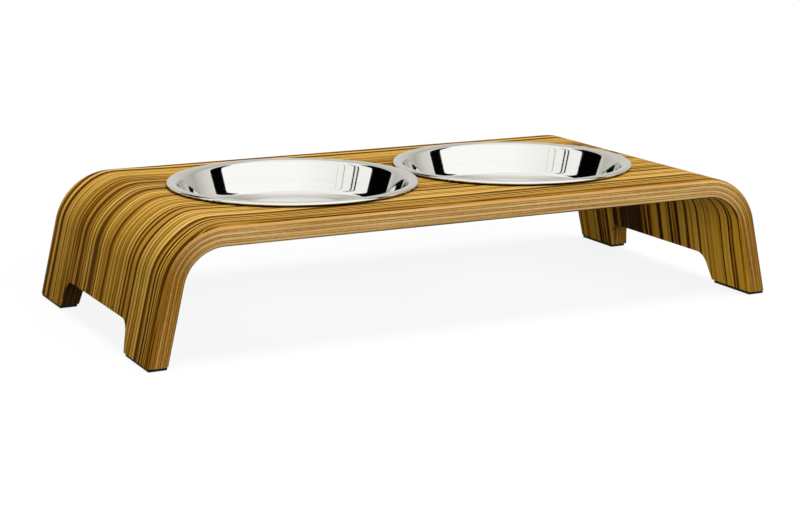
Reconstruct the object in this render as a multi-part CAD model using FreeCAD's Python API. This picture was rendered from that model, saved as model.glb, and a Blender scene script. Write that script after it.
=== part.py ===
import FreeCAD, Part
import math
import os

# A double cat bowl: two drawn steel bowls hang by their rolled rims in round holes in a low stand.
# The stand is one strip of moulded plywood, bent down at both ends into splayed legs. Each leg is
# notched in the middle, which leaves two feet, and each foot stands on a thin rubber pad.
# Millimetres, +Z up, the floor at zero. The front, towards the viewer, is -Y, and left is -X.
# The origin is on the floor, under the middle of the stand.

# Drawn steel bowl
RIM_RADIUS = 77.0  # outside of the rolled rim
CURL_RADIUS = 1.5  # outside of the roll's section
CURL_END = -120.0  # degrees, where the roll ends under the rim
RIM_LAND = 1.5  # flat ring between the roll and the shoulder
SHOULDER_RADIUS = 4.0  # where the rim turns down into the wall
WALL_LEAN = 20.0  # degrees from upright
BOWL_DEPTH = 22.0  # rim's top down to the inside of the bottom
BOTTOM_RADIUS = 7.0  # inside, between the wall and the bottom
SHEET_THICKNESS = 0.8  # steel thickness

# Bowls in the stand
SEAT_GAP = 0.15  # under the roll
HOLE_CLEARANCE = 1.7  # round the bowl's wall
RIM_GAP = 1.0  # between the two rims
SIDE_MARGIN = 23.0  # rim to the front or back edge
END_MARGIN = 7.5  # rim to the start of a bend

# Moulded plywood
VENEER_THICKNESS = 0.75  # zebrano face on each side
PLY_THICKNESS = 1.5  # each layer of the core
PLY_COUNT = 7
TOP_HEIGHT = 78.0  # floor to the face that the bowls sit on
BEND_RADIUS = 37.0  # outer face
LEG_SPLAY = 13.0  # degrees from upright
OUTER_ROUND = 3.0  # long edges of the outer face
INNER_ROUND = 2.0  # long edges of the inner face

# Feet
FOOT_WIDTH = 40.5  # at the leg's end
NOTCH_HEIGHT = 17.0
NOTCH_LEAN = 18.0  # degrees from upright
NOTCH_CORNER = 9.0  # radius of the notch's upper corners
PAD_THICKNESS = 2.0
PAD_INSET = 1.5  # from the edges of the leg's end
PAD_CORNER = 1.0
PAD_BEVEL = 0.4  # round the face that stands on the floor

# Modelling
OVERRUN = 1.0  # how far a cutting solid passes the faces that it cuts
TOUCH = 0.001  # distance at which two shapes count as touching

BOARD_THICKNESS = 2.0 * VENEER_THICKNESS + PLY_COUNT * PLY_THICKNESS
BOWL_X = RIM_RADIUS + RIM_GAP / 2.0
STAND_DEPTH = 2.0 * (RIM_RADIUS + SIDE_MARGIN)
BEND_X = BOWL_X + RIM_RADIUS + END_MARGIN
BEND_Z = TOP_HEIGHT - BEND_RADIUS
LEG_END = PAD_THICKNESS
RIM_TOP = TOP_HEIGHT + SEAT_GAP + 2.0 * CURL_RADIUS
BOWL_FLOOR = RIM_TOP - BOWL_DEPTH
SHOULDER_END = 180.0 - WALL_LEAN  # degrees

SIDES = ("left", "right")
ROWS = ("front", "rear")


def vec(x, y, z):
    return FreeCAD.Vector(x, y, z)


def sign(place):
    """Which way along X a side lies, or a row along Y."""
    return -1.0 if place in ("left", "front") else 1.0


def on_circle(centre_a, centre_b, radius, degrees):
    """A circle's point at an angle, as its two coordinates in the circle's plane."""
    turn = math.radians(degrees)
    return centre_a + radius * math.cos(turn), centre_b + radius * math.sin(turn)


def line(start, end):
    return Part.LineSegment(start, end).toShape()


def arc(start, middle, end):
    return Part.Arc(start, middle, end).toShape()


def leg_x(depth, height):
    """How far out the right leg is at a height, on the face at a depth below the outer one."""
    bend_end_x, bend_end_z = on_circle(BEND_X, BEND_Z, BEND_RADIUS - depth, LEG_SPLAY)
    return bend_end_x + (bend_end_z - height) * math.tan(math.radians(LEG_SPLAY))


def bent_line(depth, leg_end):
    """Edges of the strip's bent line at a depth below its outer face, from left leg end to right leg end."""
    turns = (90.0, (90.0 + LEG_SPLAY) / 2.0, LEG_SPLAY)
    half = [on_circle(BEND_X, BEND_Z, BEND_RADIUS - depth, turn) for turn in turns]
    half.append((leg_x(depth, leg_end), leg_end))
    right = [vec(x, 0.0, z) for x, z in half]
    left = [vec(-x, 0.0, z) for x, z in half]
    return [
        line(left[3], left[2]),
        arc(left[2], left[1], left[0]),
        line(left[0], right[0]),
        arc(right[0], right[1], right[2]),
        line(right[2], right[3]),
    ]


def bent_strip(outer_depth, inner_depth, leg_end, width):
    """Solid strip between two depths below the outer face, bent down into both legs."""
    outer = bent_line(outer_depth, leg_end)
    inner = bent_line(inner_depth, leg_end)
    left_end = line(inner[0].Vertexes[0].Point, outer[0].Vertexes[0].Point)
    right_end = line(outer[-1].Vertexes[-1].Point, inner[-1].Vertexes[-1].Point)
    face = Part.Face(Part.Wire(outer + [right_end] + inner[::-1] + [left_end]))
    face.translate(vec(0.0, -width / 2.0, 0.0))
    return face.extrude(vec(0.0, width, 0.0))


def long_edges(board, depth):
    """The board's front and back edges that follow the bent line at a depth below the outer face."""
    guide = Part.Wire(bent_line(depth, LEG_END))
    found = []
    for edge in board.Edges:
        middle = edge.valueAt((edge.FirstParameter + edge.LastParameter) / 2.0)
        off_side = abs(abs(middle.y) - STAND_DEPTH / 2.0)
        off_line = guide.distToShape(Part.Vertex(vec(middle.x, 0.0, middle.z)))[0]
        if off_side < TOUCH and off_line < TOUCH:
            found.append(edge)
    return found


def notch_cutter():
    """Prism along X through both legs, with the notch's outline: leaning sides and round upper corners."""
    top = LEG_END + NOTCH_HEIGHT
    bottom = LEG_END - OVERRUN
    slope = math.tan(math.radians(NOTCH_LEAN))
    mouth = STAND_DEPTH / 2.0 - FOOT_WIDTH + OVERRUN * slope
    corner = mouth - (top - bottom) * slope
    round_start = corner - NOTCH_CORNER * math.tan(math.radians((90.0 - NOTCH_LEAN) / 2.0))
    turns = (NOTCH_LEAN, (90.0 + NOTCH_LEAN) / 2.0, 90.0)
    half = [(mouth, bottom)]
    half += [on_circle(round_start, top - NOTCH_CORNER, NOTCH_CORNER, turn) for turn in turns]
    reach = leg_x(0.0, bottom) + OVERRUN
    rear = [vec(-reach, y, z) for y, z in half]
    front = [vec(-reach, -y, z) for y, z in half]
    outline = [
        line(rear[0], rear[1]),
        arc(rear[1], rear[2], rear[3]),
        line(rear[3], front[3]),
        arc(front[3], front[2], front[1]),
        line(front[1], front[0]),
        line(front[0], rear[0]),
    ]
    return Part.Face(Part.Wire(outline)).extrude(vec(2.0 * reach, 0.0, 0.0))


def bowl_circles():
    """Centre and radius, in the bowl's section, of its visible face's roll, shoulder and bottom corner."""
    curl = (RIM_RADIUS - CURL_RADIUS, RIM_TOP - CURL_RADIUS, CURL_RADIUS)
    shoulder = (curl[0] - RIM_LAND, RIM_TOP - SHOULDER_RADIUS, SHOULDER_RADIUS)
    wall_top_r, wall_top_z = on_circle(*shoulder, SHOULDER_END)
    lean = math.radians(WALL_LEAN)
    wall_end_z = BOWL_FLOOR + BOTTOM_RADIUS * (1.0 - math.sin(lean))
    wall_end_r = wall_top_r - (wall_top_z - wall_end_z) * math.tan(lean)
    corner = (wall_end_r - BOTTOM_RADIUS * math.cos(lean), BOWL_FLOOR + BOTTOM_RADIUS, BOTTOM_RADIUS)
    return curl, shoulder, corner


def hole_radius():
    """Radius of a bowl's hole: clearance round the bowl's wall where it passes the board's face."""
    shoulder = bowl_circles()[1]
    wall_top_r, wall_top_z = on_circle(*shoulder, SHOULDER_END)
    lean = math.radians(WALL_LEAN)
    inside = wall_top_r - (wall_top_z - TOP_HEIGHT) * math.tan(lean)
    return inside + SHEET_THICKNESS / math.cos(lean) + HOLE_CLEARANCE


def hole_cutter(side):
    """Cylinder through the top, where one bowl drops in."""
    foot = vec(sign(side) * BOWL_X, 0.0, TOP_HEIGHT - BOARD_THICKNESS - OVERRUN)
    return Part.makeCylinder(hole_radius(), BOARD_THICKNESS + 2.0 * OVERRUN, foot)


def moulded_board():
    """The whole board as it leaves the workshop: bent, notched and bored, with its long edges rounded."""
    board = bent_strip(0.0, BOARD_THICKNESS, LEG_END, STAND_DEPTH)
    board = board.makeFillet(OUTER_ROUND, long_edges(board, 0.0))
    board = board.makeFillet(INNER_ROUND, long_edges(board, BOARD_THICKNESS))
    return board.cut([notch_cutter()] + [hole_cutter(side) for side in SIDES])


def layer_depths():
    """Name, outer depth and inner depth of each layer that the board is pressed from, from the outside in."""
    layers = [("outer_veneer", -OVERRUN, VENEER_THICKNESS)]
    for index in range(PLY_COUNT):
        depth = VENEER_THICKNESS + index * PLY_THICKNESS
        layers.append((f"core_ply_{index + 1}", depth, depth + PLY_THICKNESS))
    layers.append(("inner_veneer", BOARD_THICKNESS - VENEER_THICKNESS, BOARD_THICKNESS + OVERRUN))
    return layers


def board_layer(board, outer_depth, inner_depth):
    """One layer of the board, taken out of it by a strip that passes the board's ends and sides."""
    strip = bent_strip(outer_depth, inner_depth, LEG_END - OVERRUN, STAND_DEPTH + 2.0 * OVERRUN)
    return board.common(strip).Solids[0]


def section_point(place):
    """Point of the bowl's section, from its radius and height."""
    return vec(place[0], 0.0, place[1])


def section_arc(circle, start, end):
    """Arc of the bowl's section between two angles of a circle."""
    return arc(*[section_point(on_circle(*circle, turn)) for turn in (start, (start + end) / 2.0, end)])


def bowl(side):
    """One drawn bowl: steel sheet from the rolled edge over the rim, down the wall and across the bottom."""
    curl, shoulder, corner = bowl_circles()
    roll = section_arc(curl, CURL_END, 90.0)
    turn_down = section_arc(shoulder, 90.0, SHOULDER_END)
    turn_in = section_arc(corner, -WALL_LEAN, -90.0)
    land = line(roll.Vertexes[-1].Point, turn_down.Vertexes[0].Point)
    wall = line(turn_down.Vertexes[-1].Point, turn_in.Vertexes[0].Point)
    bottom = line(turn_in.Vertexes[-1].Point, vec(0.0, 0.0, BOWL_FLOOR))
    visible_face = Part.Wire([roll, land, turn_down, wall, turn_in, bottom])
    sheet = visible_face.makeOffset2D(SHEET_THICKNESS, fill=True, openResult=True)
    solid = sheet.revolve(vec(0.0, 0.0, 0.0), vec(0.0, 0.0, 1.0), 360.0)
    solid.translate(vec(sign(side) * BOWL_X, 0.0, 0.0))
    return solid


def foot_pad(side, row):
    """Rubber pad under one foot, inset from the foot's edges, with bevelled edges on the floor."""
    outer_x = leg_x(0.0, LEG_END) - PAD_INSET
    inner_x = leg_x(BOARD_THICKNESS, LEG_END) + PAD_INSET
    outer_y = STAND_DEPTH / 2.0 - PAD_INSET
    inner_y = STAND_DEPTH / 2.0 - FOOT_WIDTH + PAD_INSET
    length = outer_x - inner_x
    width = outer_y - inner_y
    middle_x = sign(side) * (outer_x + inner_x) / 2.0
    middle_y = sign(row) * (outer_y + inner_y) / 2.0
    corner = vec(middle_x - length / 2.0, middle_y - width / 2.0, 0.0)
    pad = Part.makeBox(length, width, PAD_THICKNESS, corner)
    pad = pad.makeFillet(PAD_CORNER, [edge for edge in pad.Edges if edge.BoundBox.ZLength > TOUCH])
    pad = pad.makeChamfer(PAD_BEVEL, [edge for edge in pad.Edges if edge.BoundBox.ZMax < TOUCH])
    return pad.Solids[0]


def build_nodes():
    """Every node's solid, by the node's name."""
    board = moulded_board()
    nodes = {}
    for name, outer_depth, inner_depth in layer_depths():
        nodes[name] = board_layer(board, outer_depth, inner_depth)
    for side in SIDES:
        nodes[f"{side}_bowl"] = bowl(side)
        for row in ROWS:
            nodes[f"{row}_{side}_foot_pad"] = foot_pad(side, row)
    return nodes


os.makedirs("parts", exist_ok=True)
for node, solid in build_nodes().items():
    solid.exportStep(f"parts/{node}.step")
    print(node, solid.ShapeType, "valid" if solid.isValid() else "not valid", f"{solid.Volume:.1f} cubic mm")
print(f"bowl hole radius {hole_radius():.2f} mm, spread over the leg ends {2.0 * leg_x(0.0, LEG_END):.1f} mm")
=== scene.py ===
# %% [markdown]
# A double cat bowl is a low stand of moulded plywood, faced with zebrano veneer, that holds two drawn
# steel bowls. All of it could be modelled here from nothing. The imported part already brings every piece
# in metres at its real place, though, so no piece is placed by eye. The board's layers keep the shapes
# they came with and only need finishes. The bowls and the pads are made again: a mirror shows every
# facet, and soft rubber is rounded.

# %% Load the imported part
import math

import bmesh
import bpy
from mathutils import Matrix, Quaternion, Vector


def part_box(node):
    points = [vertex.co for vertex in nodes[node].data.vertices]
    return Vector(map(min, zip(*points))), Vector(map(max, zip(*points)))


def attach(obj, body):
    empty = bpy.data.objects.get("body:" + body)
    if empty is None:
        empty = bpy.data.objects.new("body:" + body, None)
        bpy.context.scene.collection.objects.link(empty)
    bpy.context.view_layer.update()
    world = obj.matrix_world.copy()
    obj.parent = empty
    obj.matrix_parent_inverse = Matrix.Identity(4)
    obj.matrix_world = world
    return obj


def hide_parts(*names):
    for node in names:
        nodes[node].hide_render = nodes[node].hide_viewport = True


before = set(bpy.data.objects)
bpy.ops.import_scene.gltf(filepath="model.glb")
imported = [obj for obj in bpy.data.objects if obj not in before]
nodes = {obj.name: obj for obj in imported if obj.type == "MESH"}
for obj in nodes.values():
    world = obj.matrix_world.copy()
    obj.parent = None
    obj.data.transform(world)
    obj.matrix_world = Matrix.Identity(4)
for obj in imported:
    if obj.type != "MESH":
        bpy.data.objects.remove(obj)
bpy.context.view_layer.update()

MM = 0.001

# %% [markdown]
# A material in Blender is a small graph of nodes. Clicking one together by hand can't be repeated, and
# spelling out each node and link would fill pages. So one function adds a node of any kind, sets it up
# and joins its inputs. Colours are written as hex values, as a paint shop gives them, and turned to the
# linear light that the renderer adds up.

# %% Colours and nodes
def linear(hex_colour):
    """The renderer's linear colour, with full alpha, of an sRGB hex value."""
    shares = [int(hex_colour[i:i + 2], 16) / 255 for i in (1, 3, 5)]
    return (*[s / 12.92 if s <= 0.04045 else ((s + 0.055) / 1.055) ** 2.4 for s in shares], 1.0)


def grey(level):
    """A plain level as a ramp's colour, for a pattern that only says how light or dark a place is."""
    return (level, level, level, 1.0)


def join(tree, node, inputs):
    """Sets or links a node's inputs, each to a value, a socket or the output in use of another node."""
    for name, value in inputs.items():
        named = [socket for socket in node.inputs if socket.enabled and socket.name == name]
        socket = named[0] if named else node.inputs[name]
        if isinstance(value, bpy.types.Node):
            value = next(output for output in value.outputs if output.enabled)
        if isinstance(value, bpy.types.NodeSocket):
            tree.links.new(value, socket)
        else:
            socket.default_value = value


def add_node(tree, kind, inputs=None, stops=None, **settings):
    """Adds a node of any kind with its settings and inputs. Stops are a colour ramp's places and colours."""
    node = tree.nodes.new("ShaderNode" + kind)
    for name, value in settings.items():
        setattr(node, name, value)
    if stops:
        elements = node.color_ramp.elements
        for element, (place, colour) in zip(list(elements), (stops[0], stops[-1])):
            element.position = place
            element.color = colour
        for place, colour in stops[1:-1]:
            elements.new(place).color = colour
    join(tree, node, inputs or {})
    return node


print("zebrano tan in linear light", [round(share, 3) for share in linear("#B08233")[:3]])

# %% [markdown]
# Every finish below starts the same way, from an emptied graph with one principled shader, and every new
# piece is put into the scene by the same two calls. Values that are the same all over a surface go on the
# shader's own sockets, where an export to another program finds them.

# %% Starting a finish and adding an object
def empty_tree(owner):
    """The emptied node graph of a material or a world."""
    owner.use_nodes = True
    owner.node_tree.nodes.clear()
    return owner.node_tree


def new_finish(name, **constants):
    """A material with one principled surface, whose constants are set on its own sockets."""
    finish = bpy.data.materials.new(name)
    tree = empty_tree(finish)
    settings = {key.replace("_", " "): value for key, value in constants.items()}
    surface = add_node(tree, "BsdfPrincipled", settings)
    add_node(tree, "OutputMaterial", {"Surface": surface})
    return finish, tree, surface


def add_object(name, data):
    """A new object in the scene that shows this mesh, lamp or camera."""
    item = bpy.data.objects.new(name, data)
    bpy.context.scene.collection.objects.link(item)
    return item


# %% [markdown]
# Wood grain follows the strip of wood, and this strip is bent into a bridge. A texture in plain X, Y and
# Z would run straight through the bends, like a block that was sawn to shape. Unwrapping each mesh by
# hand is one way round that. Here the bend's own sizes are used instead: they give the centre that all
# the layers are bent about.

# %% Where the board bends
BEND_RADIUS = 37 * MM  # of the outer face
LEG_SPLAY = math.radians(13)  # from upright
veneer_low, veneer_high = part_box("outer_veneer")
bend_z = veneer_high.z - BEND_RADIUS
leg_drop = bend_z + BEND_RADIUS * math.sin(LEG_SPLAY) - veneer_low.z
bend_x = veneer_high.x - BEND_RADIUS * math.cos(LEG_SPLAY) - leg_drop * math.tan(LEG_SPLAY)
bend_turn = math.pi / 2 - LEG_SPLAY
print(f"bends start {bend_x / MM:.1f} mm from the middle and turn {math.degrees(bend_turn):.0f} degrees")

# %% [markdown]
# A node group is a graph that other graphs use like one node. This one works out, for any point of the
# board, how far it lies along the strip, across it and below the outer face, in millimetres, as the strip
# would show it unrolled on the bench. Every layer of the board uses it, so the grain of all nine turns
# the bends together.

# %% The strip, unrolled
strip = bpy.data.node_groups.new("unrolled_strip", "ShaderNodeTree")
place = add_node(strip, "SeparateXYZ", {0: add_node(strip, "TexCoord").outputs["Object"]})
side = add_node(strip, "Math", {0: place.outputs["X"]}, operation="SIGN")
reach = add_node(strip, "Math", {0: place.outputs["X"]}, operation="ABSOLUTE")
out = add_node(strip, "Math", {0: reach, 1: bend_x}, operation="SUBTRACT")
up = add_node(strip, "Math", {0: place.outputs["Z"], 1: bend_z}, operation="SUBTRACT")
angle = add_node(strip, "Math", {0: out, 1: up}, operation="ARCTAN2")
turn = add_node(strip, "Clamp", {"Value": angle, "Min": 0.0, "Max": bend_turn})
sine = add_node(strip, "Math", {0: turn}, operation="SINE")
cosine = add_node(strip, "Math", {0: turn}, operation="COSINE")
# Height above the bend's centre line, square to the strip
height = add_node(strip, "Math", {0: up, 1: cosine}, operation="MULTIPLY")
height = add_node(strip, "Math", {0: out, 1: sine, 2: height}, operation="MULTIPLY_ADD")
depth = add_node(strip, "Math", {0: BEND_RADIUS, 1: height}, operation="SUBTRACT")
# The way along the strip: flat part, bend and what runs on past the bend
run = add_node(strip, "Math", {0: up, 1: sine}, operation="MULTIPLY")
run = add_node(strip, "Math", {0: bend_x, 1: run}, operation="SUBTRACT")
run = add_node(strip, "Math", {0: out, 1: cosine, 2: run}, operation="MULTIPLY_ADD")
run = add_node(strip, "Math", {0: turn, 1: BEND_RADIUS, 2: run}, operation="MULTIPLY_ADD")
run = add_node(strip, "Math", {0: run, 1: side}, operation="MULTIPLY")
print("a point's place on the strip takes", len(strip.nodes), "nodes")

# %% [markdown]
# The materials also need to know how flat the strip lies at a point, because light falls on a leg in
# another way than on the top, and which way its fibres run, because their sheen is drawn out. Both follow
# from the same turn. A group hands its results on by named outputs, in millimetres where they are
# lengths.

# %% What the strip tells a material
down = add_node(strip, "Math", {0: sine, 1: -1.0}, operation="MULTIPLY")
sideways = add_node(strip, "Math", {0: cosine, 1: side}, operation="MULTIPLY")
strip_results = {
    "Along": add_node(strip, "Math", {0: run, 1: 1 / MM}, operation="MULTIPLY"),
    "Across": add_node(strip, "Math", {0: place.outputs["Y"], 1: 1 / MM}, operation="MULTIPLY"),
    "Depth": add_node(strip, "Math", {0: depth, 1: 1 / MM}, operation="MULTIPLY"),
    "Lie": add_node(strip, "Math", {0: cosine, 1: 2.0}, operation="POWER"),
    "Fibre": add_node(strip, "CombineXYZ", {"X": sideways, "Z": down}),
}
strip_end = strip.nodes.new("NodeGroupOutput")
for output, node in strip_results.items():
    kind = "NodeSocketVector" if output == "Fibre" else "NodeSocketFloat"
    strip.interface.new_socket(output, in_out="OUTPUT", socket_type=kind)
    strip.links.new(node.outputs[0], strip_end.inputs[output])
print("the strip tells", ", ".join(strip_results))

# %% [markdown]
# Zebrano is a pale golden timber with dark growth layers. A veneer that is sliced square to those layers
# shows them as long, nearly parallel stripes. They sway together where the trunk had a bend, and wander a
# little one by one. Straight stripes would look printed, and noise alone would make waves with no plan.
# So a ramp along the strip holds how far the whole grain has moved, and a weak noise that is drawn out
# along the grain moves single lines.

# %% How the grain runs
SWAY = 12.0  # mm, the whole range that the ramp can hold
# Place along the strip and how far the whole grain has moved to the back there, in mm
GRAIN_SWAY = (
    (-262, 0.0), (-212, -0.5), (-192, -3.0), (-178, -1.0), (-163, 5.0), (-150, 4.5), (-126, 0.0), (-60, 1.5),
    (0, -1.0), (60, 1.0), (126, -1.0), (165, 0.0), (190, -1.0), (225, 1.5), (262, 4.0),
)
WANDER_LENGTH, WANDER_WIDTH, WANDER = 50.0, 12.0, 2.0  # mm, of a wave along and across, and its whole swing
NOISE_MIDDLE = 0.5  # a noise or a ramp swings about this level


def drawn_out_noise(tree, board, line, length, width, detail, dimensions="2D"):
    """Noise along the grain, whose waves are this long along the strip and this wide across it, in mm."""
    spot = add_node(tree, "CombineXYZ", {"X": board.outputs["Along"], "Y": line, "Z": board.outputs["Depth"]})
    waves = (1 / length, 1 / width, 1 / width)
    spot = add_node(tree, "VectorMath", {0: spot, 1: waves}, operation="MULTIPLY")
    inputs = {"Vector": spot, "Scale": 1.0, "Detail": detail}
    return add_node(tree, "TexNoise", inputs, noise_dimensions=dimensions)


def grain_line(tree, board):
    """How far across the strip, in mm, the growth line of a point lies once sway and wander are taken out."""
    start, end = GRAIN_SWAY[0][0], GRAIN_SWAY[-1][0]
    share = add_node(tree, "MapRange", {"Value": board.outputs["Along"], "From Min": start, "From Max": end})
    stops = []
    for spot, moved in GRAIN_SWAY:
        stops.append(((spot - start) / (end - start), grey(moved / SWAY + NOISE_MIDDLE)))
    sway = add_node(tree, "ValToRGB", {"Fac": share}, stops=stops)
    sway.color_ramp.interpolation = "B_SPLINE"
    line = add_node(tree, "Math", {0: sway, 1: -SWAY, 2: board.outputs["Across"]}, operation="MULTIPLY_ADD")
    wander = drawn_out_noise(tree, board, line, WANDER_LENGTH, WANDER_WIDTH, detail=1.0)
    line = add_node(tree, "Math", {0: wander, 1: WANDER, 2: line}, operation="MULTIPLY_ADD")
    return add_node(tree, "Math", {0: line, 1: (SWAY - WANDER) * NOISE_MIDDLE}, operation="ADD")


print("the grain sways by up to", max(abs(moved) for _, moved in GRAIN_SWAY), "mm")

# %% [markdown]
# The strongest stripes are what the eye knows this board by, so they are listed one by one like the
# stripes of a flag: where each one lies across the strip, how wide it is and how dark. A wave texture would
# space them evenly, which growth never does. A few broad, soft zones lie under them, as where years of slow
# growth stand close together; on the inner face one broad zone is painted shade. A colour ramp has room for
# 32 stops and a stripe takes three, so ten stripes at a time share a ramp.

# %% Strong stripes and soft zones
RAMP_STRIPES = 10
# Place across the strip and half width, in mm, and darkness as a share
OUTER_ZONES = (
    (-95, 4, 0.40), (-79.5, 5, 0.40), (-49.5, 5.5, 0.35), (-10, 5, 0.25), (16, 8, 1.10), (33, 5, 0.20),
    (50.5, 7, 0.50), (61, 4, 0.30), (94.5, 5, 0.50),
)
OUTER_STRIPES = (
    (-99.3, 1.1, 0.60), (-96.6, 1.2, 0.45), (-94, 1.2, 0.40), (-91, 1.6, 0.60), (-84.5, 2.4, 0.90),
    (-77, 2.0, 0.60), (-68, 1.5, 0.50), (-54, 3.0, 1.00), (-45, 2.8, 0.80), (-40, 1.6, 0.55),
    (-36, 1.4, 0.40), (-29.5, 1.4, 0.45), (-23, 1.2, 0.30), (-16, 2.0, 0.60), (-7.5, 2.6, 0.80),
    (1, 2.2, 0.70), (23, 1.8, 0.50), (28, 1.6, 0.40), (32, 1.4, 0.30), (39, 2.8, 0.80),
    (47, 1.6, 0.35), (56, 2.2, 0.65), (64, 2.6, 0.65), (71.5, 1.8, 0.40), (85, 2.8, 1.00), (94, 2.0, 0.40),
)
# The inner face's broad zone at 25 mm is painted shade over its back part
INNER_ZONES_AND_SHADE = ((-91, 5, 0.30), (-28, 7, 0.25), (-9, 5, 0.25), (25, 30, 1.10), (65, 9, 0.60))
INNER_STRIPES = (
    (-99, 1.4, 0.55), (-91, 3.0, 0.55), (-79.5, 2.0, 0.60), (-74, 1.8, 0.45), (-68.5, 2.0, 0.50),
    (-54.5, 1.8, 0.60), (-47.5, 1.6, 0.50), (-42, 2.4, 0.75), (-31, 2.8, 0.85), (-22.5, 2.6, 0.90),
    (-18.5, 1.4, 0.70), (-10, 3.6, 1.00), (2, 3.8, 1.00), (6.5, 1.6, 0.70), (16, 5.0, 1.00),
    (24.5, 3.5, 1.00), (32.5, 2.0, 0.85), (38, 2.4, 0.90), (46, 4.5, 1.00), (58, 3.0, 0.90),
    (62.5, 1.5, 0.70), (69, 3.0, 0.80), (84, 1.2, 0.35), (92, 2.0, 0.30),
)


def stripe_darkness(tree, line, stripes):
    """How dark a few stripes are at a growth line: nothing between them and the most at each one's middle."""
    low = stripes[0][0] - stripes[0][1]
    high = stripes[-1][0] + stripes[-1][1]
    stops = []
    for middle, half_width, darkness in stripes:
        for edge, level in ((-half_width, 0.0), (0.0, darkness), (half_width, 0.0)):
            stops.append(((middle + edge - low) / (high - low), grey(level)))
    across = add_node(tree, "MapRange", {"Value": line, "From Min": low, "From Max": high})
    ramp = add_node(tree, "ValToRGB", {"Fac": across}, stops=stops)
    ramp.color_ramp.interpolation = "EASE"
    return ramp


print("outer face", len(OUTER_STRIPES), "strong stripes, inner face", len(INNER_STRIPES))

# %% [markdown]
# Between the strong stripes lie the growth rings. Each one darkens slowly over a season and ends at a
# sharp, pale edge where the next spring began, and some are strong while others hardly show. A saw-tooth
# wave has that shape but is too even. Counting rings along a line whose pace drifts, and giving each
# count its own random strength, keeps the sharp edges and loses the regular beat.

# %% Growth rings
RING_SPACING = 4.6  # mm, mean width of a ring
RING_DRIFT, RING_SHIFT = 26.0, 3.0  # mm over which the pace drifts, and by how many rings
# Share of a ring's width, and how light the wood is there
RING_EDGE = ((0.0, 0.72), (0.14, 0.5), (0.45, 0.5), (0.86, 0.0), (0.95, 0.08), (1.0, 0.72))


def growth_rings(tree, line, patch):
    """How much lighter or darker the rings make a growth line, stronger where the patch of wood is."""
    inputs = {"W": line, "Scale": 1 / RING_DRIFT, "Detail": 1.0}
    drift = add_node(tree, "TexNoise", inputs, noise_dimensions="1D")
    count = add_node(tree, "Math", {0: line, 1: RING_SPACING}, operation="DIVIDE")
    count = add_node(tree, "Math", {0: drift, 1: RING_SHIFT, 2: count}, operation="MULTIPLY_ADD")
    strength = add_node(tree, "Math", {0: count}, operation="FLOOR")
    strength = add_node(tree, "TexWhiteNoise", {"W": strength}, noise_dimensions="1D").outputs["Value"]
    share = add_node(tree, "Math", {0: count}, operation="FRACT")
    stops = [(spot, grey(level)) for spot, level in RING_EDGE]
    rings = add_node(tree, "ValToRGB", {"Fac": share}, stops=stops)
    rings = add_node(tree, "Math", {0: rings, 1: NOISE_MIDDLE}, operation="SUBTRACT")
    rings = add_node(tree, "Math", {0: rings, 1: strength}, operation="MULTIPLY")
    return add_node(tree, "Math", {0: rings, 1: patch}, operation="MULTIPLY")


print("about", round((veneer_high.y - veneer_low.y) / MM / RING_SPACING), "rings across the strip")

# %% [markdown]
# The finest marks are broad pale bands, thin growth lines, and hair lines where growth stopped for a
# while, which come in dense groups. All of them run the whole length of the strip, so noise along a
# single axis, the one across it, draws them at their own real spacings. A hair line is where such a noise
# crosses its middle.

# %% Bands, lines and hairs
# Spacing in mm, octaves and roughness of the noise that draws each kind of mark
FINE_MARKS = {
    "bands": (15.0, 1.0, 0.5),
    "lines": (2.6, 3.0, 0.65),
    "hairs": (4.0, 2.0, 0.5),
    "groups": (24.0, 2.0, 0.5),
}
HAIR_WIDTH_SHARE = 0.13  # how near the noise's middle counts as a hair
GROUP_NOISE, GROUP_LEAST = (0.35, 0.6), 0.15  # noise between and within groups, and what is left between them


def fine_lines(tree, line):
    """Bands, growth lines and hair lines at a growth line, by name."""
    marks = {}
    for name, (spacing, octaves, roughness) in FINE_MARKS.items():
        inputs = {"W": line, "Scale": 1 / spacing, "Detail": octaves, "Roughness": roughness}
        marks[name] = add_node(tree, "TexNoise", inputs, noise_dimensions="1D")
    hairs = add_node(tree, "Math", {0: marks["hairs"], 1: NOISE_MIDDLE}, operation="SUBTRACT")
    hairs = add_node(tree, "Math", {0: hairs}, operation="ABSOLUTE")
    inputs = {"Value": hairs, "From Max": HAIR_WIDTH_SHARE, "To Min": 1.0, "To Max": 0.0}
    hairs = add_node(tree, "MapRange", inputs)
    low, high = GROUP_NOISE
    inputs = {"Value": marks.pop("groups"), "From Min": low, "From Max": high, "To Min": GROUP_LEAST}
    groups = add_node(tree, "MapRange", inputs)
    marks["hairs"] = add_node(tree, "Math", {0: hairs, 1: groups}, operation="MULTIPLY")
    return marks


print("marks and their spacing in mm:", {name: mark[0] for name, mark in FINE_MARKS.items()})

# %% [markdown]
# The veneer is lacquered. It is darker along its rounded long edges. Its legs are darkened towards their
# ends, as painted shade for the weaker light near the floor, and where the strip stands up a warmer,
# darker tint is painted shade too. All of these are places on the unrolled strip, so they need no mask
# painted as an image: a range along the strip or across it says where each begins.

# %% Darker edges, and painted shade on the legs
# Way on the strip, and from where to where the darkening sets in, in mm from the middle;
# at the leg ends it is painted shade
DARKENED_PLACES = {"edge": ("Across", 95.5, 98.0), "leg_end_shade": ("Along", 225.0, 255.0)}
# Painted shade: where the strip stands up, the colour is tinted warmer and darker
STANDING_SHADE_TINT = (1.02, 0.98, 0.66, 1.0)  # a share of each colour, not a colour of its own


def darkened_places(tree, board):
    """Where the veneer is darker, by name, each from none to full; at the leg ends as painted shade."""
    shares = {}
    for name, (way, start, end) in DARKENED_PLACES.items():
        reach = add_node(tree, "Math", {0: board.outputs[way]}, operation="ABSOLUTE")
        shares[name] = add_node(tree, "MapRange", {"Value": reach, "From Min": start, "From Max": end})
    return shares


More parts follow.
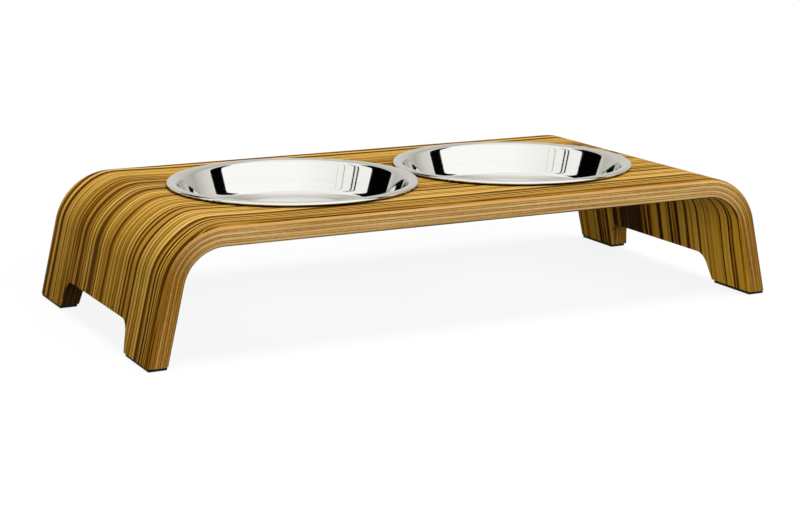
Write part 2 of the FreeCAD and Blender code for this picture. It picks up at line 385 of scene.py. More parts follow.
print("darker places, the leg ends by painted shade:", ", ".join(DARKENED_PLACES))

# %% [markdown]
# Zones and rings are not as strong everywhere: they come and go in long patches, as the light and the
# weather did for the tree. One more drawn-out noise scales them. Pores, the cut ends of the vessels that
# carried its sap, are short dashes along the grain. Each of these could be a texture of its own in the
# material; kept as named layers, they can be weighed one against the other.

# %% Layers of the veneer
PATCH_LENGTH, PATCH_WIDTH = 75.0, 16.0  # mm
PATCH_NOISE, PATCH_STRENGTH = (0.3, 0.7), (0.5, 1.2)
PORE_LENGTH, PORE_WIDTH = 9.0, 0.45  # mm, drawn about twice as wide as real pores, to show


def veneer_layers(tree, board, zones, stripes):
    """Every pattern of the veneer by name, and its soft zones alone."""
    line = grain_line(tree, board)
    patch = drawn_out_noise(tree, board, line, PATCH_LENGTH, PATCH_WIDTH, detail=2.0)
    inputs = {"Value": patch, "From Min": PATCH_NOISE[0], "From Max": PATCH_NOISE[1]}
    inputs.update({"To Min": PATCH_STRENGTH[0], "To Max": PATCH_STRENGTH[1]})
    patch = add_node(tree, "MapRange", inputs)
    zone = add_node(tree, "Math", {0: stripe_darkness(tree, line, zones), 1: patch}, operation="MULTIPLY")
    strong = zone
    for first in range(0, len(stripes), RAMP_STRIPES):
        few = stripe_darkness(tree, line, stripes[first:first + RAMP_STRIPES])
        strong = add_node(tree, "Math", {0: strong, 1: few}, operation="ADD")
    pores = drawn_out_noise(tree, board, line, PORE_LENGTH, PORE_WIDTH, detail=2.0, dimensions="3D")
    layers = {"rings": growth_rings(tree, line, patch), "pores": pores, "strong": strong}
    layers.update(fine_lines(tree, line))
    layers.update(darkened_places(tree, board))
    return layers, zone


print("patches", PATCH_LENGTH, "by", PATCH_WIDTH, "mm, pores", PORE_LENGTH, "by", PORE_WIDTH, "mm")

# %% [markdown]
# Now the layers come together. Each pattern is weighed and added to one tone, and a ramp of wood colours
# turns the tone to a colour. Mixing colours layer by layer is the other way, but it goes grey where many
# layers meet; a tone keeps every mixture a colour of this wood. The lacquer is thin and follows the
# fibres, so the sheen is drawn out square to them, which the anisotropic setting of the shader does.

# %% Zebrano veneer, sliced and lacquered
PORE_DEPTH, PORE_BUMP = 0.05 * MM, 0.15
HAZE_SHARE = 0.5  # how far a soft zone is tinted by its own shade


def zebrano(name, zones, stripes, tones, weights, haze_shade):
    """Quarter-sliced zebrano under satin lacquer, along the bent strip."""
    # To the eye: warm stripes under a soft, drawn-out sheen with no clear reflection. The specular level is
    # far below the usual 0.5, because this lacquer is flat and the lamps are wide.
    finish, tree, surface = new_finish(name, Roughness=0.6, Specular_IOR_Level=0.02, Anisotropic=0.6,
                                       Anisotropic_Rotation=0.25)
    board = add_node(tree, "Group", node_tree=strip)
    layers, zone = veneer_layers(tree, board, zones, stripes)
    tone = weights["base"]
    for layer, pattern in layers.items():
        tone = add_node(tree, "Math", {0: pattern, 1: weights[layer], 2: tone}, operation="MULTIPLY_ADD")
    stops = [(level, linear(shade)) for level, shade in tones]
    colour = add_node(tree, "ValToRGB", {"Fac": tone}, stops=stops)
    haze = add_node(tree, "Math", {0: zone, 1: HAZE_SHARE}, operation="MULTIPLY")
    colour = add_node(tree, "Mix", {"Factor": haze, "A": colour, "B": linear(haze_shade)}, data_type="RGBA")
    # Painted shade: where the strip stands, the colour takes the warmer, darker tint
    standing = add_node(tree, "Math", {0: 1.0, 1: board.outputs["Lie"]}, operation="SUBTRACT")
    inputs = {"Factor": standing, "A": colour, "B": STANDING_SHADE_TINT}
    colour = add_node(tree, "Mix", inputs, data_type="RGBA", blend_type="MULTIPLY")
    inputs = {"Height": layers["pores"], "Strength": PORE_BUMP, "Distance": PORE_DEPTH}
    relief = add_node(tree, "Bump", inputs)
    join(tree, surface, {"Base Color": colour, "Tangent": board.outputs["Fibre"], "Normal": relief})
    print(name, "has", len(layers), "layers in", len(tree.nodes), "nodes")
    return finish


# %% [markdown]
# The two faces are leaves of the same timber with different figure. The outer one is golden brown and
# evenly striped. The inner one is paler between its stripes, and nearly black in them. It lies in shade
# under the board, so its colours are painted lighter, as painted light, and a broad zone over its back
# part is painted shade. So one function makes both, and only the stripes, the colours and the weights
# differ.

# %% Outer and inner face
OUTER_TONES = ((0.0, "#482800"), (0.2, "#6A3E00"), (0.4, "#98660C"), (0.6, "#BC8E3A"), (0.8, "#DDB056"),
               (1.0, "#EBC678"))
# The inner face's colours are painted lighter, as painted light, against the shade under the board
INNER_TONES_LIGHTENED = ((0.0, "#1C0C02"), (0.2, "#522E04"), (0.4, "#BC801C"), (0.6, "#F2B236"), (0.8, "#FFC850"),
               (1.0, "#FFD870"))
# How far each layer moves the tone, where 0 is the darkest wood and 1 the palest
# The weight on the leg ends darkens them as painted shade
OUTER_WEIGHTS = {"base": -0.28, "bands": 0.9, "rings": 1.6, "lines": 1.0, "hairs": -0.3, "pores": 0.35,
                 "strong": -0.66, "edge": -0.3, "leg_end_shade": -0.12}
INNER_WEIGHTS = {"base": 0.0, "bands": 0.7, "rings": 1.2, "lines": 0.8, "hairs": -0.36, "pores": 0.35,
                 "strong": -0.78, "edge": -0.25, "leg_end_shade": 0.0}
finishes = {
    "outer_veneer": zebrano("zebrano_veneer_lacquered", OUTER_ZONES, OUTER_STRIPES, OUTER_TONES,
                            OUTER_WEIGHTS, haze_shade="#5A4512"),
    "inner_veneer": zebrano("zebrano_veneer_dark_striped", INNER_ZONES_AND_SHADE, INNER_STRIPES, INNER_TONES_LIGHTENED,
                            INNER_WEIGHTS, haze_shade="#4A2E0A"),
}

# %% [markdown]
# The core is seven thin plies, laid with their fibres across the strip and along it in turn. Their sanded
# edges show along the front as pale and darker lines in turn, which tell plywood from solid wood. Lines
# painted on one solid would do from the front. The layers are separate pieces, though, so each has its
# own finish, which is right in the holes and the notches as well. Both kinds share one pattern: long
# growth lines, and short dashes of cut pores.

# %% Grain of a ply's edge
STREAK_LENGTH, STREAK_WIDTH = 90.0, 0.9  # mm, growth lines along every ply's edge
DASH_LENGTH, DASH_WIDTH = 2.2, 0.55  # mm, cut pores, drawn longer than they are to show
VENEER, PLY = 0.75, 1.5  # mm, thickness of the face and of each ply
PLY_MIDDLE = 0.5  # share of its thickness
GLUE_SPAN, GLUE_SHADE = (0.2, 0.45), 0.16  # share off the middle, and how far glue darkens a ply there
# Painted shade: the rounded edge catches more light from above, so it is darkened to this depth
ROUND_DEPTH, ROUND_PAINTED_SHADE = 3.0, 0.24  # mm below the outer face, and the painted shade there


def ply_grain(tree, board, dash_share):
    """Lightness of a ply's edge: streaks, dashes, dark glued margins, and painted shade on the rounded edge.
    """
    along, across, depth = [board.outputs[way] for way in ("Along", "Across", "Depth")]
    spot = add_node(tree, "CombineXYZ", {"X": along, "Y": across, "Z": depth})
    patterns = []
    for length, width in ((STREAK_LENGTH, STREAK_WIDTH), (DASH_LENGTH, DASH_WIDTH)):
        waves = (1 / length, 1 / length, 1 / width)
        scaled = add_node(tree, "VectorMath", {0: spot, 1: waves}, operation="MULTIPLY")
        inputs = {"Vector": scaled, "Scale": 1.0, "Detail": 2.0, "Roughness": 0.6}
        patterns.append(add_node(tree, "TexNoise", inputs))
    grain = add_node(tree, "Mix", {"Factor": dash_share, "A": patterns[0], "B": patterns[1]})
    # Glue soaks into a ply's margins, so only its middle stays pale
    inputs = {"Value": depth, "From Min": VENEER, "From Max": VENEER + PLY}
    ply = add_node(tree, "MapRange", inputs, clamp=False)
    ply = add_node(tree, "Math", {0: ply}, operation="FRACT")
    glue = add_node(tree, "Math", {0: ply, 1: PLY_MIDDLE}, operation="SUBTRACT")
    glue = add_node(tree, "Math", {0: glue}, operation="ABSOLUTE")
    glue = add_node(tree, "MapRange", {"Value": glue, "From Min": GLUE_SPAN[0], "From Max": GLUE_SPAN[1]})
    grain = add_node(tree, "Math", {0: glue, 1: -GLUE_SHADE, 2: grain}, operation="MULTIPLY_ADD")
    # Painted shade on the rounded edge, against the light it catches from above
    rounded = add_node(tree, "MapRange", {"Value": depth, "From Min": ROUND_DEPTH, "From Max": VENEER})
    return add_node(tree, "Math", {0: rounded, 1: -ROUND_PAINTED_SHADE, 2: grain}, operation="MULTIPLY_ADD")


print("a ply is", PLY, "mm thick, with growth lines of", STREAK_WIDTH, "mm on its edge")

# %% [markdown]
# The walls of the notch in the left leg are painted nearly black, as painted shade.
# A second material on chosen faces would need the mesh to be changed. On the unrolled strip the notch is
# simply what lies inside the long edges and below the left bend, so two ranges find it.

# %% Painted shade in the notch
# Painted shade in the left leg's notch: where it sets in, how far and how dark
NOTCH_SHADE_EDGE, NOTCH_SHADE_START = 92.0, -205.0  # mm across and along
NOTCH_SHADE_FADE = 6.0  # mm over which it sets in
NOTCH_SHADE_SHARE = 0.85
NOTCH_PAINTED_SHADE = "#1A0C06"


def with_notch_shade(tree, board, colour):
    """The colour of a ply, with painted shade inside the left leg's notch."""
    inside = add_node(tree, "Math", {0: board.outputs["Across"]}, operation="ABSOLUTE")
    inside = add_node(tree, "MapRange", {"Value": inside, "From Min": NOTCH_SHADE_EDGE,
                                         "From Max": NOTCH_SHADE_EDGE - NOTCH_SHADE_FADE})
    below = add_node(tree, "MapRange", {"Value": board.outputs["Along"], "From Min": NOTCH_SHADE_START,
                                        "From Max": NOTCH_SHADE_START - NOTCH_SHADE_FADE})
    share = add_node(tree, "Math", {0: inside, 1: below}, operation="MULTIPLY")
    share = add_node(tree, "Math", {0: share, 1: NOTCH_SHADE_SHARE}, operation="MULTIPLY")
    return add_node(tree, "Mix", {"Factor": share, "A": colour, "B": linear(NOTCH_PAINTED_SHADE)}, data_type="RGBA")


print("painted notch shade sets in", abs(NOTCH_SHADE_START), "mm from the middle of the strip, on its left leg")

# %% [markdown]
# A ply whose fibres run across the strip shows its sanded end grain along the front, which is the paler
# kind on this board, and one whose fibres run along it shows darker side grain. Edges that lie flat catch
# the light from above and those that stand don't, so each kind has a lighter colour for where the strip
# lies flat and a browner one for where it stands, mixed by the lie: painted sheen and painted shade.

# %% Core plies, cut and sanded
GRAIN_SPAN = (0.36, 0.64)  # levels of the grain that take the dark and the pale colour
PLY_DEPTH, PLY_BUMP = 0.05 * MM, 0.2


def core_ply(name, dash_share, lit_flat_tones, shaded_standing_tones):
    """Sanded ply edge under the same satin lacquer as the faces."""
    # To the eye: matt, fine-lined and speckled, with no sheen that would tell it from raw wood
    finish, tree, surface = new_finish(name, Roughness=0.65, Specular_IOR_Level=0.02)
    board = add_node(tree, "Group", node_tree=strip)
    grain = ply_grain(tree, board, dash_share)
    ramps = []
    for tones in (lit_flat_tones, shaded_standing_tones):
        stops = [(level, linear(shade)) for level, shade in zip(GRAIN_SPAN, tones)]
        ramps.append(add_node(tree, "ValToRGB", {"Fac": grain}, stops=stops))
    # Painted light: the lit colours where the strip lies flat, the shaded ones where it stands
    inputs = {"Factor": board.outputs["Lie"], "A": ramps[1], "B": ramps[0]}
    colour = add_node(tree, "Mix", inputs, data_type="RGBA")
    relief = add_node(tree, "Bump", {"Height": grain, "Strength": PLY_BUMP, "Distance": PLY_DEPTH})
    join(tree, surface, {"Base Color": with_notch_shade(tree, board, colour), "Normal": relief})
    return finish


side_grain = core_ply("core_ply_side_grain_sanded", dash_share=0.3, lit_flat_tones=("#A0702A", "#EABC70"),
                      shaded_standing_tones=("#7A5014", "#C08E38"))
end_grain = core_ply("core_ply_end_grain_sanded", dash_share=0.25, lit_flat_tones=("#CCA062", "#FFE0A0"),
                     shaded_standing_tones=("#8E621E", "#D2A04C"))
plies = sorted(name for name in nodes if name.startswith("core_ply_"))
for number, name in enumerate(plies, start=1):
    finishes[name] = end_grain if number % 2 else side_grain
for name, finish in finishes.items():
    nodes[name].data.materials.clear()
    nodes[name].data.materials.append(finish)
print(len(finishes), "layers of the board have their finish,", len(plies), "of them plies")

# %% [markdown]
# The feet stand on stick-on pads of black rubber, moulded with a fine grit so that they don't slide. Flat
# black would read as a hole in the picture. A fine noise breaks it up a little and roughens it, as the
# grit does.

# %% Black rubber, moulded
GRIT = 0.6 * MM  # drawn about twice as coarse as it is, to show
GRIT_NOISE, GRIT_SHADES = (0.35, 0.65), ("#040404", "#0F0E0D")
GRIT_DEPTH, GRIT_BUMP = 0.1 * MM, 0.4
# To the eye: a thin line that swallows light, with hardly a glint
rubber, tree, surface = new_finish("black_rubber_moulded", Roughness=0.8, Specular_IOR_Level=0.25)
spot = add_node(tree, "TexCoord").outputs["Object"]
grit = add_node(tree, "TexNoise", {"Vector": spot, "Scale": 1 / GRIT, "Detail": 3.0})
stops = [(level, linear(shade)) for level, shade in zip(GRIT_NOISE, GRIT_SHADES)]
black = add_node(tree, "ValToRGB", {"Fac": grit}, stops=stops)
relief = add_node(tree, "Bump", {"Height": grit, "Strength": GRIT_BUMP, "Distance": GRIT_DEPTH})
join(tree, surface, {"Base Color": black, "Normal": relief})
print(rubber.name, "has grit of", round(GRIT / MM, 1), "mm")

# %% [markdown]
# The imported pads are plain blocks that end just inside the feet. Under a load rubber gives sideways, and
# its moulded edges are never sharp, so each pad is made again as a block that is a little longer in X,
# with its edges bevelled. A subdivided cube would round the corners too much for so thin a piece.

# %% Pads under the feet
PAD_SPREAD = 1.0 * MM  # on each side, under the stand's weight
PAD_ROUND, PAD_ROUND_STEPS = 0.6 * MM, 3
ROUND_PROFILE = 0.5  # a bevel of this profile is part of a circle
for name in sorted(name for name in nodes if name.endswith("foot_pad")):
    low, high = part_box(name)
    size = high - low + Vector((2 * PAD_SPREAD, 0, 0))
    block = bmesh.new()
    bmesh.ops.create_cube(block, size=1.0)
    bmesh.ops.scale(block, vec=size, verts=block.verts)
    bmesh.ops.bevel(block, geom=block.edges, offset=PAD_ROUND, segments=PAD_ROUND_STEPS,
                    profile=ROUND_PROFILE, affect="EDGES")
    pad_mesh = bpy.data.meshes.new(name + "_moulded")
    block.to_mesh(pad_mesh)
    block.free()
    pad_mesh.materials.append(rubber)
    piece = add_object(name + "_moulded", pad_mesh)
    piece.location = (low + high) / 2
    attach(piece, "stand")
    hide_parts(name)
    print(piece.name, [round(length / MM, 1) for length in size], "mm")

# %% [markdown]
# Each bowl is drawn from one round of steel sheet: a flat bottom, a rounded corner, a leaning wall, a
# shoulder, and a rim that is rolled under so that no cut edge is left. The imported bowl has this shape,
# but its facets would break up a reflection. Smoothing it could bend the flat parts. So the section is
# written again as arcs and lines that run into each other without a kink, in fine steps, from the packed
# bowl's own box.

# %% Section of a bowl
CURL_RADIUS, CURL_END = 1.5 * MM, -120.0  # of the rolled rim, and the angle at its lip, in degrees
RIM_LAND = 1.5 * MM  # flat between the roll and the shoulder
SHOULDER_RADIUS = 4.0 * MM
WALL_LEAN = 20.0  # degrees from upright
BOTTOM_RADIUS = 7.0 * MM  # of the corner between wall and bottom
SHEET = 0.8 * MM
ROLL_STEPS, SHOULDER_STEPS, WALL_STEPS, CORNER_STEPS, BASE_STEPS = 28, 14, 12, 24, 16


def arc_points(centre, radius, start, end, steps):
    """Points (radius, height) on an arc of the section, from one angle in degrees to the other."""
    angles = [math.radians(start + (end - start) * step / steps) for step in range(steps + 1)]
    return [Vector((centre[0] + radius * math.cos(a), centre[1] + radius * math.sin(a))) for a in angles]


def bowl_section(rim_radius, rim_top, bottom):
    """The sheet's visible face from the middle to its lip, then its hidden face, as (radius, height)."""
    floor = bottom + SHEET
    roll_centre = (rim_radius - CURL_RADIUS, rim_top - CURL_RADIUS)
    roll = arc_points(roll_centre, CURL_RADIUS, CURL_END, 90, ROLL_STEPS)
    shoulder_centre = (rim_radius - CURL_RADIUS - RIM_LAND, rim_top - SHOULDER_RADIUS)
    shoulder = arc_points(shoulder_centre, SHOULDER_RADIUS, 90, 180 - WALL_LEAN, SHOULDER_STEPS)
    lean = math.radians(WALL_LEAN)
    wall_end_z = floor + BOTTOM_RADIUS * (1 - math.sin(lean))
    wall_end_r = shoulder[-1][0] - (shoulder[-1][1] - wall_end_z) * math.tan(lean)
    corner_centre = (wall_end_r - BOTTOM_RADIUS * math.cos(lean), floor + BOTTOM_RADIUS)
    corner = arc_points(corner_centre, BOTTOM_RADIUS, -WALL_LEAN, -90, CORNER_STEPS)
    wall = [shoulder[-1].lerp(corner[0], step / WALL_STEPS) for step in range(1, WALL_STEPS)]
    base = [corner[-1].lerp(Vector((0.0, floor)), step / BASE_STEPS) for step in range(1, BASE_STEPS + 1)]
    visible = roll + shoulder + wall + corner + base
    hidden = []
    for index, point in enumerate(visible):
        before, after = visible[max(index - 1, 0)], visible[min(index + 1, len(visible) - 1)]
        way = (after - before).normalized()
        hidden.append(point + SHEET * Vector((-way[1], way[0])))
    hidden[-1][0] = 0.0
    return visible[::-1] + hidden


bowl_low, bowl_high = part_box("left_bowl")
section = bowl_section((bowl_high.x - bowl_low.x) / 2, bowl_high.z, bowl_low.z)
print("section of", len(section), "points,", round((bowl_high.z - bowl_low.z) / MM, 1), "mm high")

# %% [markdown]
# A spun or drawn bowl is round, so its section is turned about an upright axis. The screw modifier would
# do that and stay editable. Turning the section in bmesh gives a plain mesh at once, which an export
# takes as it is, and both bowls can share it. Smooth shading then hides what is left of the fine steps.

# %% The section, turned
TURNS = 256  # steps round the bowl
WELD = 0.001 * MM


def turned_mesh(name, points):
    """Mesh of a section, given as (radius, height), turned about the upright axis at the origin."""
    turned = bmesh.new()
    corners = [turned.verts.new((radius, 0.0, height)) for radius, height in points]
    edges = [turned.edges.new(pair) for pair in zip(corners, corners[1:])]
    bmesh.ops.spin(turned, geom=corners + edges, cent=(0, 0, 0), axis=(0, 0, 1), angle=2 * math.pi,
                   steps=TURNS, use_merge=True)
    bmesh.ops.remove_doubles(turned, verts=turned.verts, dist=WELD)
    bmesh.ops.recalc_face_normals(turned, faces=turned.faces)
    for face in turned.faces:
        face.smooth = True
    mesh = bpy.data.meshes.new(name)
    turned.to_mesh(mesh)
    turned.free()
    return mesh


drawn_bowl = turned_mesh("drawn_bowl", section)
print(drawn_bowl.name, "has", len(drawn_bowl.polygons), "faces")

# %% [markdown]
# The bowls are stainless steel, polished on a wheel while they turn. A plain mirror would be too perfect:
# the wheel leaves faint rings round the axis, and nobody polishes the underside. Rings need only the
# distance from the axis, so no unwrapped image is needed. The underside of the rolled rim is painted
# nearly black, as painted shade and painted dark reflection of the gap below it.

# %% Stainless steel, drawn and polished
POLISH_RING = 1.2 * MM  # real wheel marks are far finer; drawn this coarse to show
RING_NOISE, STEEL_SHADES = (0.3, 0.7), ("#E4E3E0", "#E7E6E3")
POLISHED, DULL = (0.03, 0.07), 0.3  # roughness on the polished face, from ring to ring, and below
UNDER_TILT = (0.05, -0.35)  # upward share of the normal, from where a face starts to count as the underside
# Painted shade: the roll's underside, outside this radius, is painted nearly black
ROLL_INSIDE = 73.5 * MM  # from the axis
ROLL_PAINTED_SHADE = "#12110F"
# To the eye: a cool, bright mirror of the studio, a little softer along fine rings
steel, tree, surface = new_finish("stainless_steel_polished", Metallic=1.0)
texture_place = add_node(tree, "TexCoord")
place = add_node(tree, "SeparateXYZ", {0: texture_place.outputs["Object"]})
facing = add_node(tree, "SeparateXYZ", {0: texture_place.outputs["Normal"]})
radius = add_node(tree, "CombineXYZ", {"X": place.outputs["X"], "Y": place.outputs["Y"]})
radius = add_node(tree, "VectorMath", {0: radius}, operation="LENGTH").outputs["Value"]
inputs = {"W": radius, "Scale": 1 / POLISH_RING, "Detail": 2.0}
rings = add_node(tree, "TexNoise", inputs, noise_dimensions="1D")
inputs = {"Value": facing.outputs["Z"], "From Min": UNDER_TILT[0], "From Max": UNDER_TILT[1]}
under = add_node(tree, "MapRange", inputs)
roll = add_node(tree, "MapRange", {"Value": radius, "From Min": ROLL_INSIDE, "From Max": ROLL_INSIDE + SHEET})
# Painted shade on the roll's underside
roll_shade = add_node(tree, "Math", {0: under, 1: roll}, operation="MULTIPLY")
stops = [(level, linear(shade)) for level, shade in zip(RING_NOISE, STEEL_SHADES)]
bright = add_node(tree, "ValToRGB", {"Fac": rings}, stops=stops)
colour = add_node(tree, "Mix", {"Factor": roll_shade, "A": bright, "B": linear(ROLL_PAINTED_SHADE)}, data_type="RGBA")
polish = add_node(tree, "MapRange", {"Value": rings, "To Min": POLISHED[0], "To Max": POLISHED[1]})
rough = add_node(tree, "Mix", {"Factor": under, "A": polish, "B": DULL})
join(tree, surface, {"Base Color": colour, "Roughness": rough})
drawn_bowl.materials.append(steel)
print(steel.name, "roughness", POLISHED, "above and", DULL, "below")

# %% [markdown]
# Two bowls of the same make hang by their rims in the two holes. Copying the mesh would double the file.
# Two objects that show one mesh look the same and change together. Each one rides on its own body, so it
# lifts out by itself.

# %% Both bowls in place
for name in ("left_bowl", "right_bowl"):
    low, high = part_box(name)
    piece = add_object(name + "_polished", drawn_bowl)
    piece.location = ((low.x + high.x) / 2, (low.y + high.y) / 2, 0)
    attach(piece, name)
    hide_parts(name)
    print(piece.name, "rim", round((high.x - low.x) / MM, 1), "mm")

# %% [markdown]
# The stand is shown on a sheet of paper that reaches past every edge of the picture, so that no horizon
# shows. A plane would do; a wide disc also looks the same from all sides when the view goes round.

# %% Floor
FLOOR_RADIUS, FLOOR_SIDES = 8.0, 96
FLOOR_GAP = 0.02 * MM  # so that the pads' undersides and the floor don't share a plane
floor_mesh = bpy.data.meshes.new("studio_floor")
disc = bmesh.new()
bmesh.ops.create_circle(disc, cap_ends=True, radius=FLOOR_RADIUS, segments=FLOOR_SIDES)
disc.to_mesh(floor_mesh)
disc.free()
studio_floor = add_object("studio_floor", floor_mesh)
studio_floor.location.z = -FLOOR_GAP
print("floor", 2 * FLOOR_RADIUS, "m across,", round(FLOOR_GAP / MM, 2), "mm below the pads")

# %% [markdown]
# The paper is matt and white. Under strong lamps any pale floor goes white, but then its bounced light
# washes out the wood above it. The Light Path node tells what kind of ray looks at the paper: to the
# camera and in the steel it glows nearly white and still keeps a soft shadow, and for light that is
# bounced on to the wood it is a plain grey.

# %% White paper, matt
FLOOR_GLOW = 0.88  # share of white that needs no lamp; the rest takes the shadow
PAPER_SEEN, PAPER_BOUNCED = "#FAFAFA", "#565656"
# To the eye: no surface at all, only the soft shadow that lies on it
paper = bpy.data.materials.new("matt_white_paper")
tree = empty_tree(paper)
ray = add_node(tree, "LightPath").outputs
seen = add_node(tree, "Math", {0: ray["Is Camera Ray"], 1: ray["Is Glossy Ray"]}, operation="MAXIMUM")
seen = add_node(tree, "Math", {0: seen, 1: ray["Is Transmission Ray"]}, operation="MAXIMUM")
glow_share = add_node(tree, "Math", {0: seen, 1: FLOOR_GLOW}, operation="MULTIPLY")
inputs = {"Factor": seen, "A": linear(PAPER_BOUNCED), "B": linear(PAPER_SEEN)}
tone = add_node(tree, "Mix", inputs, data_type="RGBA")
matt = add_node(tree, "BsdfDiffuse", {"Color": tone})
glow = add_node(tree, "Emission", {"Color": grey(1.0), "Strength": 1.0})
mixed = add_node(tree, "MixShader", {0: glow_share, 1: matt, 2: glow})
add_node(tree, "OutputMaterial", {"Surface": mixed})
floor_mesh.materials.append(paper)
print(paper.name, "glows at", FLOOR_GLOW, "of white")

# %% [markdown]
# Polished steel shows nothing of its own, only the room. A photographer puts such a bowl between pale
# walls of different tone, which shade its curves. Real walls could stand round the stand, but they would
# also keep light from the wood. So the room is painted on the world behind everything, as a ramp of tones
# all round with a ceiling.

# %% The room that the steel mirrors
CAMERA_AZIMUTH = math.radians(-27.218)  # from straight in front, to the left
FULL_TURN = 360.0
CEILING, CEILING_SPAN = "#F2F2F0", (60.0, 75.0)  # shade, and the elevations in degrees where it begins
# Degrees clockwise from straight behind the object, as the camera sees it, and how light the wall is there
STUDIO_ROUND = (
    (0, "#C6C6C0"), (30, "#C2C1BB"), (52, "#AEADA5"), (68, "#CFCEC8"), (78, "#D8D7D2"), (88, "#FFFFFF"),
    (180, "#FFFFFF"), (225, "#F3F3F1"), (285, "#F6F6F4"), (306, "#B8B7AE"), (330, "#C8C7C1"),
    (360, "#C6C6C0"),
)
world = bpy.data.worlds.new("studio")
bpy.context.scene.world = world
tree = empty_tree(world)
way = add_node(tree, "SeparateXYZ", {0: add_node(tree, "TexCoord").outputs["Generated"]})
bearing = add_node(tree, "Math", {0: way.outputs["X"], 1: way.outputs["Y"]}, operation="ARCTAN2")
bearing = add_node(tree, "Math", {0: bearing, 1: CAMERA_AZIMUTH}, operation="ADD")
bearing = add_node(tree, "Math", {0: bearing, 1: 1 / (2 * math.pi)}, operation="MULTIPLY")
bearing = add_node(tree, "Math", {0: bearing}, operation="FRACT")
stops = [(degrees / FULL_TURN, linear(shade)) for degrees, shade in STUDIO_ROUND]
studio = add_node(tree, "ValToRGB", {"Fac": bearing}, stops=stops)
elevation = add_node(tree, "Math", {0: way.outputs["Z"]}, operation="ARCSINE")
elevation = add_node(tree, "Math", {0: elevation, 1: math.degrees(1)}, operation="MULTIPLY")
inputs = {"Value": elevation, "From Min": CEILING_SPAN[0], "From Max": CEILING_SPAN[1]}
overhead = add_node(tree, "MapRange", inputs)
studio = add_node(tree, "Mix", {"Factor": overhead, "A": studio, "B": linear(CEILING)}, data_type="RGBA")
print("the steel mirrors", len(STUDIO_ROUND), "wall tones")

# %% [markdown]
# Between pale walls alone a bowl looks flat. Black cards that stand at its sides, and a few thin dark
# lines such as a window's bars, show as crisp bands in its walls, and the eye reads a mirror from them.
# Each card is a range of bearings and elevations on the painted room, laid over what is there.

# %% Cards and bars round the room
MIRROR_STRENGTH = 1.2
# Bearings from and to, elevations from and to, in degrees, and shade
STUDIO_CARDS = (
    (80, 95, 0, 48, "#030303"), (269, 299, 0, 48, "#030303"), (246, 248, 0, 44, "#1A1A1A"),
    (250.5, 252.5, 0, 46, "#1A1A1A"), (234.5, 235.3, 0, 44, "#8A8A86"), (227, 227.6, 0, 44, "#C9C9C5"),
)
degrees_round = add_node(tree, "Math", {0: bearing, 1: FULL_TURN}, operation="MULTIPLY")
for left, right, bottom, top, shade in STUDIO_CARDS:
    sides = {0: degrees_round, 1: (left + right) / 2, 2: (right - left) / 2}
    heights = {0: elevation, 1: (bottom + top) / 2, 2: (top - bottom) / 2}
    inside = add_node(tree, "Math", sides, operation="COMPARE")
    upright = add_node(tree, "Math", heights, operation="COMPARE")
    inside = add_node(tree, "Math", {0: inside, 1: upright}, operation="MULTIPLY")
    studio = add_node(tree, "Mix", {"Factor": inside, "A": studio, "B": linear(shade)}, data_type="RGBA")
mirrored = add_node(tree, "VectorMath", {0: studio, "Scale": MIRROR_STRENGTH}, operation="SCALE")
print(len(STUDIO_CARDS), "cards and bars stand round the room")

# %% [markdown]
# The painted room is for reflections alone. To light that falls on the wood the world is an even, weak
# grey, which opens the shadows, and to the camera it is white, so that paper and background meet without
# a line. Light Path sorts the rays here as it does on the floor.

# %% What each kind of ray sees of the world
ROOM_LIGHT = 0.13
ray = add_node(tree, "LightPath").outputs
mirror = add_node(tree, "Math", {0: ray["Is Glossy Ray"], 1: ray["Is Transmission Ray"]}, operation="MAXIMUM")
light = add_node(tree, "Mix", {"Factor": mirror, "A": grey(ROOM_LIGHT), "B": mirrored}, data_type="RGBA")
light = add_node(tree, "Mix", {"Factor": ray["Is Camera Ray"], "A": light, "B": grey(1.0)}, data_type="RGBA")
background = add_node(tree, "Background", {"Color": light, "Strength": 1.0})
add_node(tree, "OutputWorld", {"Surface": background})
print("the world has", len(tree.nodes), "nodes")

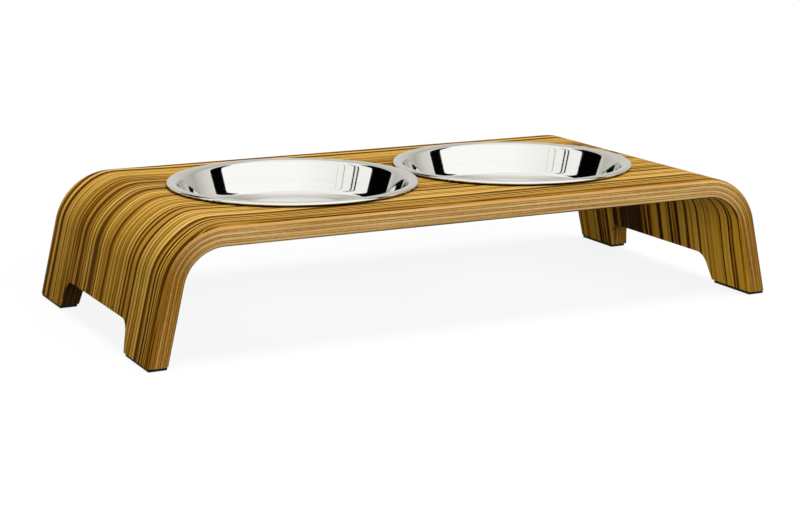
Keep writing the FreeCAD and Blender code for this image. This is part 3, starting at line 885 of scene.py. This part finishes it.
# %% [markdown]
# Large soft boxes light the stand: one above, weaker ones at the left end, the front and the back, so
# that every side reads when the view goes round. Area lamps would fall off along so long an object. Suns
# with a wide angle give the same soft edge and light both ends alike. They are hidden from the steel,
# which mirrors the painted room instead.

# %% Lamps
# Name, direction towards the lamp, strength in watts per square metre, and how wide it looks, in degrees
LAMPS = (
    ("key_overhead", (0.14, -0.17, 0.975), 2.0, 25),
    ("fill_left", (-0.92, -0.37, 0.14), 1.05, 50),
    ("fill_front", (0.2, -0.87, 0.45), 1.5, 50),
    ("fill_back", (0.35, 0.9, 0.25), 0.8, 50),
)
for name, towards, strength, softness in LAMPS:
    lamp = bpy.data.lights.new(name, "SUN")
    lamp.energy = strength
    lamp.angle = math.radians(softness)
    sun = add_object(name, lamp)
    sun.rotation_mode = "QUATERNION"
    sun.rotation_quaternion = Vector(towards).to_track_quat("Z", "Y")
    sun.visible_glossy = False
    print(name, strength, "W/m2 over", softness, "degrees")

# %% [markdown]
# The camera looks at the stand from the left front and a little above, through a long lens that keeps the
# far end nearly as large as the near one. It could be aimed by hand in the viewport. Its place and turn
# were worked out from the stand's own corners instead, so that the stand lies in the picture as it does
# in the photograph.

# %% Camera
CAMERA_PLACE = (-0.54194, -1.04662, 0.28867)  # m
CAMERA_ELEVATION, CAMERA_ROLL = math.radians(12.531), math.radians(0.252)
LENS, SENSOR = 85.4, 36.0  # mm
camera_data = bpy.data.cameras.new("camera")
camera_data.sensor_width = SENSOR
camera_data.lens = LENS
camera = add_object("camera", camera_data)
camera.location = CAMERA_PLACE
level = math.cos(CAMERA_ELEVATION)
back = Vector((math.sin(CAMERA_AZIMUTH) * level, -math.cos(CAMERA_AZIMUTH) * level,
               math.sin(CAMERA_ELEVATION)))
camera.rotation_mode = "QUATERNION"
camera.rotation_quaternion = (-back).to_track_quat("-Z", "Y") @ Quaternion((0, 0, 1), CAMERA_ROLL)
bpy.context.scene.camera = camera
bpy.context.scene.view_settings.view_transform = "Standard"
print("camera", round(camera.location.length, 2), "m from the middle of the stand, lens", LENS, "mm")
